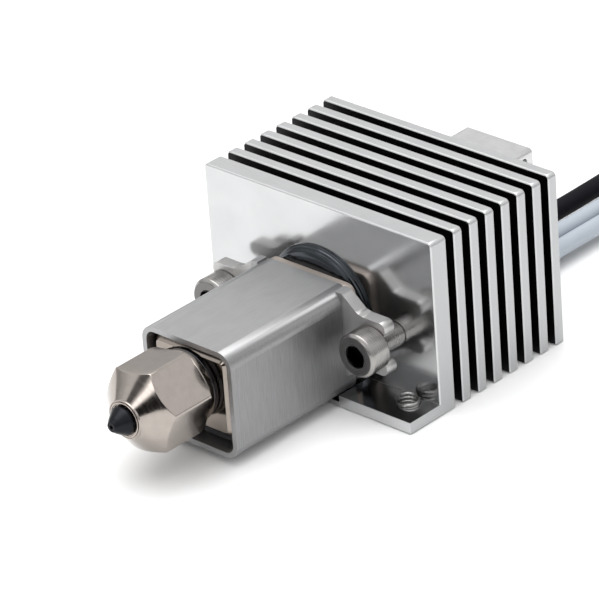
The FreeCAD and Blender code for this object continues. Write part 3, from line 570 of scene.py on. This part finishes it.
def make_nozzle_body():
    """The stem's thread, the turned shoulder, and the hexagon cut by its cone."""
    flats, hex_back, cone_back, cone_front, cone_end = 8.0, -19.9, -24.8, -27.0, 1.85
    stem_back, stem_front, stem, taper = -9.1, -18.6, 2.97, 0.3
    insert_back, insert_seat = -24.0, 1.32
    chamfer, chamfer_steps = 0.25, 4
    blend_size, blend_steps = 0.07, 4
    reach = flats / math.sqrt(3)
    slope = (reach - cone_end) / (cone_back - cone_front)
    hexagon = rounded_hexagon(flats, 9.5)

    def meets(angle):
        """Where the cone cuts this side of the hexagon."""
        return cone_back - (reach - hexagon(angle)) / slope

    lathe = Lathe(384)
    lathe.ring(stem_back, FILAMENT_RADIUS)
    lathe.ring(stem_back, stem - taper)
    lathe.ring(stem_back - taper, stem)
    lathe.thread(stem_back - taper, stem_front, stem, THREAD_PITCH, THREAD_DEPTH, 12)
    lathe.ring(-18.84, 2.9)
    shoulder = [(-18.85, 2.97), (-18.85, 3.65), (-19.0, 3.8), (-19.6, 3.8), (-19.75, 3.65), (-19.9, 3.6)]
    lathe.profile(shoulder, 0.04)
    # the hexagon's back corners are chamfered
    for step in range(chamfer_steps + 1):
        deep = chamfer * step / chamfer_steps
        limit = reach - chamfer + 0.3 * deep / chamfer
        lathe.ring(hex_back - deep, lambda a: min(hexagon(a), limit))
    # the hexagon's sides, the soft edge where the cone cuts them, and the cone
    side_back = hex_back - chamfer
    for share in (0.25, 0.5, 0.75):
        lathe.ring(lambda a: side_back + (meets(a) + blend_size - side_back) * share, hexagon)
    for step in range(blend_steps + 1):
        t = step / blend_steps
        lathe.ring(
            lambda a: bent(t, meets(a) + blend_size, meets(a), meets(a) - blend_size),
            lambda a: bent(t, hexagon(a), hexagon(a), hexagon(a) - blend_size * slope),
        )
    rim_back, rim_radius = cone_front + 0.12, 2.0
    for share in (0.33, 0.66, 1.0):
        lathe.ring(
            lambda a: (meets(a) - blend_size) * (1 - share) + rim_back * share,
            lambda a: (hexagon(a) - blend_size * slope) * (1 - share) + rim_radius * share,
        )
    # a low ring with fine turned steps round the insert, then the bore
    rim = [(rim_back, rim_radius), (-27.05, 1.98), (-27.08, 1.95), (-27.08, 1.87), (-27.0, 1.85)]
    rim += [(-27.0, 1.80), (-27.14, 1.78), (-27.16, 1.75), (-27.16, 1.62), (-27.08, 1.60)]
    rim += [(-27.08, 1.52), (-26.9, 1.49), (-26.9, insert_seat)]
    lathe.profile(rim, 0.015)
    lathe.ring(insert_back, insert_seat)
    lathe.ring(insert_back, FILAMENT_RADIUS)
    piece = lathe.build("nozzle_body_turned", about(0.0, AXIS_HIGH), MATERIALS["nozzle_nickel"], closed=True)
    stand_for(piece, "nozzle_body", "nozzle")


def make_nozzle_tip():
    """The black insert: its stem in the nozzle, the cone, and the flat round the orifice."""
    stem, orifice, flat_front = 1.3, 0.2, -28.8
    outline = [
        (-23.98, FILAMENT_RADIUS), (-23.98, stem), (-27.0, stem), (-27.0, 1.45), (-27.5, 1.44),
        (-28.4, 0.82), (-28.66, 0.6), (flat_front, 0.5), (flat_front, orifice), (-28.2, orifice),
        (-27.4, FILAMENT_RADIUS),
    ]
    make_ring("nozzle_tip_turned", "nozzle_tip", "nozzle", "tip_black", outline, 0.05)


def make_ring(name, node, body, slot, points, size):
    """A closed ring about the nozzle's axis."""
    lathe = Lathe(160)
    lathe.profile(points, size, 4)
    piece = lathe.build(name, about(0.0, AXIS_HIGH), MATERIALS[slot], closed=True)
    stand_for(piece, node, body)
    return piece


def make_cap_screw(name, node, material, place, toward, seat, shank_end, thread_start):
    """A socket head cap screw: rounded head, hexagon socket with a drilled floor, threaded shank."""
    socket = rounded_hexagon(2.0, 20.0, 90.0)
    head, head_long = 2.25, 2.5
    front = seat - head_long * toward
    lathe = Lathe(120)
    lathe.ring(front + 1.45 * toward, 0.0)
    lathe.ring(front + 1.3 * toward, 0.8)
    lathe.ring(front + 1.28 * toward, lambda a: socket(a) * 0.985)
    lathe.ring(front + 0.9 * toward, socket)
    lathe.ring(front + 0.1 * toward, socket)
    lathe.ring(front + 0.03 * toward, lambda a: socket(a) + 0.02)
    lathe.ring(front, lambda a: socket(a) + 0.06)
    outline = [(front, 1.35), (front, head - 0.28), (front + 0.3 * toward, head), (seat - 0.1 * toward, head)]
    outline += [(seat, head - 0.1), (seat, 1.25), (seat + 0.15 * toward, SCREW_RADIUS)]
    lathe.profile(outline, 0.07)
    lathe.ring(thread_start, SCREW_RADIUS)
    lathe.thread(thread_start, shank_end - 0.3 * toward, SCREW_RADIUS, SCREW_PITCH, SCREW_DEPTH)
    lathe.ring(shank_end, 0.9)
    lathe.ring(shank_end, 0.0)
    stand_for(lathe.build(name, place, material), node, node)


def make_set_screw():
    """A headless screw along X, coned at the liner and with a socket at its outer end."""
    length, radius = 2.4, 1.25
    start, back = LINER_RADIUS + 0.05, INLET_END - 1.6
    socket = rounded_hexagon(1.27, 0.0, 90.0)
    lathe = Lathe(96)
    lathe.ring(0.0, 0.0)
    lathe.ring(0.0, radius - 0.35)
    lathe.ring(0.3, radius - 0.05)
    lathe.thread(0.3, length - 0.15, radius, SCREW_PITCH, SCREW_DEPTH)
    lathe.ring(length, radius - 0.15)
    lathe.ring(length, lambda a: socket(a) + 0.05)
    lathe.ring(length - 0.05, socket)
    lathe.ring(length - 0.98, socket)
    lathe.ring(length - 1.0, 0.0)
    piece = lathe.build(
        "inlet_set_screw_threaded",
        lambda x, y, z: mm(start + y, back + x, AXIS_HIGH + z),
        MATERIALS["screw_black"],
    )
    stand_for(piece, "inlet_set_screw", "inlet_set_screw")


def make_heat_break():
    """The threaded tube with its thin throat, from the nozzle's stem to the inlet block."""
    front, throat_front, throat_back, back = -9.06, -1.8, 1.6, 21.11
    throat, taper, liner_hole = 1.7, 0.3, LINER_RADIUS + 0.02
    lathe = Lathe(96)
    lathe.ring(front, FILAMENT_RADIUS)
    lathe.ring(front, THREAD_RADIUS - taper)
    lathe.ring(front + taper, THREAD_RADIUS)
    lathe.thread(front + taper, throat_front, THREAD_RADIUS, THREAD_PITCH, THREAD_DEPTH)
    neck = [(throat_front, THREAD_RADIUS), (throat_front + taper, throat)]
    neck += [(throat_back - taper, throat), (throat_back, THREAD_RADIUS)]
    lathe.profile(neck, 0.15, 4)
    lathe.thread(throat_back, back - taper, THREAD_RADIUS, THREAD_PITCH, THREAD_DEPTH, 8)
    lathe.ring(back, THREAD_RADIUS - taper)
    lathe.ring(back, liner_hole)
    lathe.ring(LINER_START, liner_hole)
    lathe.ring(LINER_START, FILAMENT_RADIUS)
    metal = MATERIALS["heat_break_metal"]
    piece = lathe.build("heat_break_threaded", about(0.0, AXIS_HIGH), metal, closed=True)
    stand_for(piece, "heat_break", "root")


def make_inlet_liner():
    """The guide tube, flared at the inlet."""
    flare_wide, flare_deep = 1.25, 0.5
    outline = [(LINER_START, FILAMENT_RADIUS), (INLET_END - flare_deep, FILAMENT_RADIUS)]
    outline += [(INLET_END, flare_wide), (INLET_END, LINER_RADIUS), (LINER_START, LINER_RADIUS)]
    make_ring("inlet_liner_tube", "inlet_liner", "root", "liner_white", outline, 0.04)


def make_collar():
    """The glossy dome on the neck with three low ridges, cut away below for the leads."""
    front, bore = -1.0, 3.04
    notch_left, notch_right, notch_top = -2.6, 5.2, 3.4
    outline = [(front, bore), (0.0, bore), (0.0, 6.38), (-0.20, 6.38), (-0.27, 6.23), (-0.34, 6.28)]
    outline += [(-0.48, 6.16), (-0.55, 6.00), (-0.62, 6.03), (-0.75, 5.80), (-0.86, 5.48), (-0.95, 5.10)]
    outline += [(front, 4.7)]
    collar = make_ring("neck_collar_ring", "neck_collar", "root", "collar_dark", outline, 0.03)
    corners = [mm(x, y, z) for x in (notch_left, notch_right) for y in (-2.0, 1.0) for z in (-2.0, notch_top)]
    sides = [(0, 1, 3, 2), (4, 6, 7, 5), (0, 4, 5, 1), (2, 3, 7, 6), (0, 2, 6, 4), (1, 5, 7, 3)]
    cutter = make_piece("notch_cutter", corners, sides, MATERIALS["collar_dark"])
    cut = collar.modifiers.new("notch", "BOOLEAN")
    cut.operation = "DIFFERENCE"
    cut.solver = "EXACT"
    cut.object = cutter
    bpy.context.view_layer.update()
    evaluated = collar.evaluated_get(bpy.context.evaluated_depsgraph_get())
    mesh = bpy.data.meshes.new_from_object(evaluated)
    collar.modifiers.clear()
    collar.data = mesh
    bpy.data.objects.remove(cutter)


def make_foot_insert(name, node, side):
    """A wound wire of diamond section, the way a thread insert is made."""
    outer, bore, top, pitch, columns, section = 1.15, 0.85, 1.8, 0.40, 48, 8
    flattened = 0.86  # the section's odd corners lie nearer to its middle
    wire = (outer - bore) / 2
    tall = wire + 0.045
    middle, start, end = bore + wire, 0.2, top - 0.2
    steps = round((end - start) / pitch * columns)
    vertices, faces = [], []
    for step in range(steps + 1):
        angle = 2 * math.pi * step / columns
        high = start + (end - start) * step / steps
        for corner in range(section):
            turn = 2 * math.pi * corner / section
            stretch = 1.0 if corner % 2 == 0 else flattened
            across = middle + wire * stretch * math.cos(turn)
            rise = high + tall * stretch * math.sin(turn)
            vertices.append(mm(side + across * math.cos(angle), across * math.sin(angle) - PLATE_BACK, rise))
    for step in range(steps):
        for corner in range(section):
            first, second = step * section, (step + 1) * section
            after = (corner + 1) % section
            faces.append((first + corner, first + after, second + after, second + corner))
    faces.append(list(range(section)))
    faces.append(list(range(steps * section, (steps + 1) * section)))
    piece = make_piece(name, vertices, faces, MATERIALS["insert_steel"], 60.0)
    stand_for(piece, node, "root")


make_nozzle_body()
make_nozzle_tip()
make_ring(
    "nozzle_washer_ring", "nozzle_washer", "nozzle_washer", "washer_dark",
    [(-18.17, 3.03), (-18.17, 3.48), (-18.29, 3.6), (-18.71, 3.6), (-18.83, 3.48), (-18.83, 3.03)], 0.04,
)
for side_name, direction, steel in (("left", -1, SCREW_LEFT_STEEL), ("right", 1, MATERIALS["screw_steel"])):
    screw = f"support_screw_{side_name}"
    place = about(SCREW_SIDE * direction, AXIS_HIGH)
    make_cap_screw(f"{screw}_threaded", screw, steel, place, 1, seat=-3.32, shank_end=4.2, thread_start=0.3)
make_cap_screw(
    "inlet_block_screw_threaded", "inlet_block_screw", SCREW_INLET_STEEL, about(0.0, INLET_SCREW_HIGH), -1,
    seat=SINK_BACK + 5.52, shank_end=13.11, thread_start=22.0,
)
make_set_screw()
make_heat_break()
make_inlet_liner()
make_collar()
make_foot_insert("foot_insert_left_coil", "foot_insert_left", -FOOT_HOLE_SIDE)
make_foot_insert("foot_insert_right_coil", "foot_insert_right", FOOT_HOLE_SIDE)


# ---------------------------------------------------------------- leads
HEATER_A_ROUTE = [
    (2.3, SINK_BACK, 2.1),
    (2.3, 30.0, 2.1),
    (2.28, 42.5, 2.06),
    (1.8, 54.0, 1.1),
    (1.56, 64.5, 1.02),
    (1.54, 72.5, 1.3),
    (1.54, 80.0, 1.3),
]
HEATER_B_ROUTE = [
    (4.14, SINK_BACK, 1.75),
    (4.14, 30.0, 1.75),
    (4.12, 42.5, 1.72),
    (3.66, 54.0, 1.04),
    (3.4, 64.5, 1.02),
    (3.38, 72.5, 1.3),
    (3.38, 80.0, 1.3),
]
SENSOR_ROUTE = [
    (-1.28, SINK_BACK, 1.75),
    (-1.28, 30.5, 1.75),
    (-1.32, 43.5, 1.72),
    (-2.6, 54.0, 1.2),
    (-4.4, 63.0, 1.16),
    (-4.6, 69.0, 1.3),
    (-4.6, 75.0, 1.3),
]


def make_lead(name, node, route, width_mm, material):
    """A sleeved lead from the fins to its plug, along the CAD tube's route."""
    curve = bpy.data.curves.new(name, "CURVE")
    curve.dimensions = "3D"
    spline = curve.splines.new("NURBS")
    spline.points.add(len(route) - 1)
    for point, place in zip(spline.points, route):
        point.co = (*mm(*place), 1.0)
    spline.order_u = 3
    spline.use_endpoint_u = True
    spline.resolution_u = 24
    curve.bevel_depth = width_mm * MM / 2
    curve.bevel_resolution = 10
    curve.use_fill_caps = True
    curve.materials.append(MATERIALS[material])
    lead = bpy.data.objects.new(name, curve)
    bpy.context.scene.collection.objects.link(lead)
    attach(lead, "root")
    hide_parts(node)


make_lead("heater_lead_a_sleeve", "heater_lead_a", HEATER_A_ROUTE, 1.8, "lead_glass_fibre")
make_lead("heater_lead_b_sleeve", "heater_lead_b", HEATER_B_ROUTE, 1.8, "lead_glass_fibre")
make_lead("thermistor_lead_sleeve", "thermistor_lead", SENSOR_ROUTE, 2.0, "lead_black")


# ---------------------------------------------------------------- studio
def make_floor():
    mesh = bpy.data.meshes.new("floor")
    side, high = 3.0, -0.0001  # metres; just under the part, so that no faces coincide
    corners = [(-side, -side, high), (side, -side, high), (side, side, high), (-side, side, high)]
    mesh.from_pydata(corners, [], [(0, 1, 2, 3)])
    floor = bpy.data.objects.new("floor", mesh)
    tree = Tree("floor_white")
    mesh.materials.append(tree.finish((0.9, 0.9, 0.9), 0.7, 0.0))
    bpy.context.scene.collection.objects.link(floor)


def make_key_light():
    """A large weak lamp above that points at the part."""
    data = bpy.data.lights.new("key", "AREA")
    data.shape = "RECTANGLE"
    data.size = data.size_y = 0.40
    data.energy = 0.7
    light = bpy.data.objects.new("key", data)
    light.location = (-0.10, -0.02, 0.45)
    toward_part = Vector((0.0, 0.0, 0.008)) - light.location
    light.rotation_euler = toward_part.to_track_quat("-Z", "Y").to_euler()
    bpy.context.scene.collection.objects.link(light)


class World:
    """A soft light tent: a ramp from the horizon up, with a few darker and brighter panels."""

    def __init__(self, stops):
        world = bpy.data.worlds.new("studio")
        bpy.context.scene.world = world
        world.use_nodes = True
        self.nodes, self.links = world.node_tree.nodes, world.node_tree.links
        self.place = self.nodes.new("ShaderNodeTexCoord").outputs["Generated"]
        split = self.nodes.new("ShaderNodeSeparateXYZ")
        self.links.new(self.place, split.inputs["Vector"])
        ramp = self.nodes.new("ShaderNodeValToRGB")
        ramp.color_ramp.interpolation = "EASE"
        elements = ramp.color_ramp.elements
        while len(elements) < len(stops):
            elements.new(0.5)
        for element, (position, level) in zip(elements, stops):
            element.position = position
            element.color = (level, level, level, 1.0)
        self.links.new(split.outputs["Z"], ramp.inputs["Fac"])
        self.color = ramp.outputs["Color"]

    def panel(self, toward, inner, outer, level):
        """A round panel in one direction; inner and outer are degrees from its middle."""
        dot = self.nodes.new("ShaderNodeVectorMath")
        dot.operation = "DOT_PRODUCT"
        self.links.new(self.place, dot.inputs[0])
        dot.inputs[1].default_value = Vector(toward).normalized()
        edge = self.nodes.new("ShaderNodeMapRange")
        edge.interpolation_type = "SMOOTHSTEP"
        self.links.new(dot.outputs["Value"], edge.inputs["Value"])
        edge.inputs["From Min"].default_value = math.cos(math.radians(outer))
        edge.inputs["From Max"].default_value = math.cos(math.radians(inner))
        mix = self.nodes.new("ShaderNodeMix")
        mix.data_type = "RGBA"
        colors = [socket for socket in mix.inputs if socket.type == "RGBA"]
        self.links.new(edge.outputs["Result"], mix.inputs["Factor"])
        self.links.new(self.color, colors[0])
        colors[1].default_value = (level, level, level, 1.0)
        self.color = [socket for socket in mix.outputs if socket.type == "RGBA"][0]

    def finish(self):
        background = self.nodes["Background"]
        self.links.new(self.color, background.inputs["Color"])
        background.inputs["Strength"].default_value = 1.0


def make_world():
    """Two dark panels low in front, and above them a bright one and a dim one to its left."""
    world = World([(0.0, 0.45), (0.10, 0.50), (0.30, 0.75), (0.47, 1.05), (0.80, 0.9), (0.87, 2.5)])
    world.panel((0.46, -0.87, 0.04), 12.0, 16.0, 0.01)
    world.panel((0.32, -0.89, 0.24), 11.0, 15.0, 0.01)
    world.panel((0.03, -0.85, 0.52), 5.0, 9.0, 3.0)
    world.panel((-0.34, -0.73, 0.57), 7.0, 13.0, 0.15)
    world.finish()


make_world()
make_floor()
make_key_light()
make_camera()
bpy.context.scene.view_settings.view_transform = "Standard"
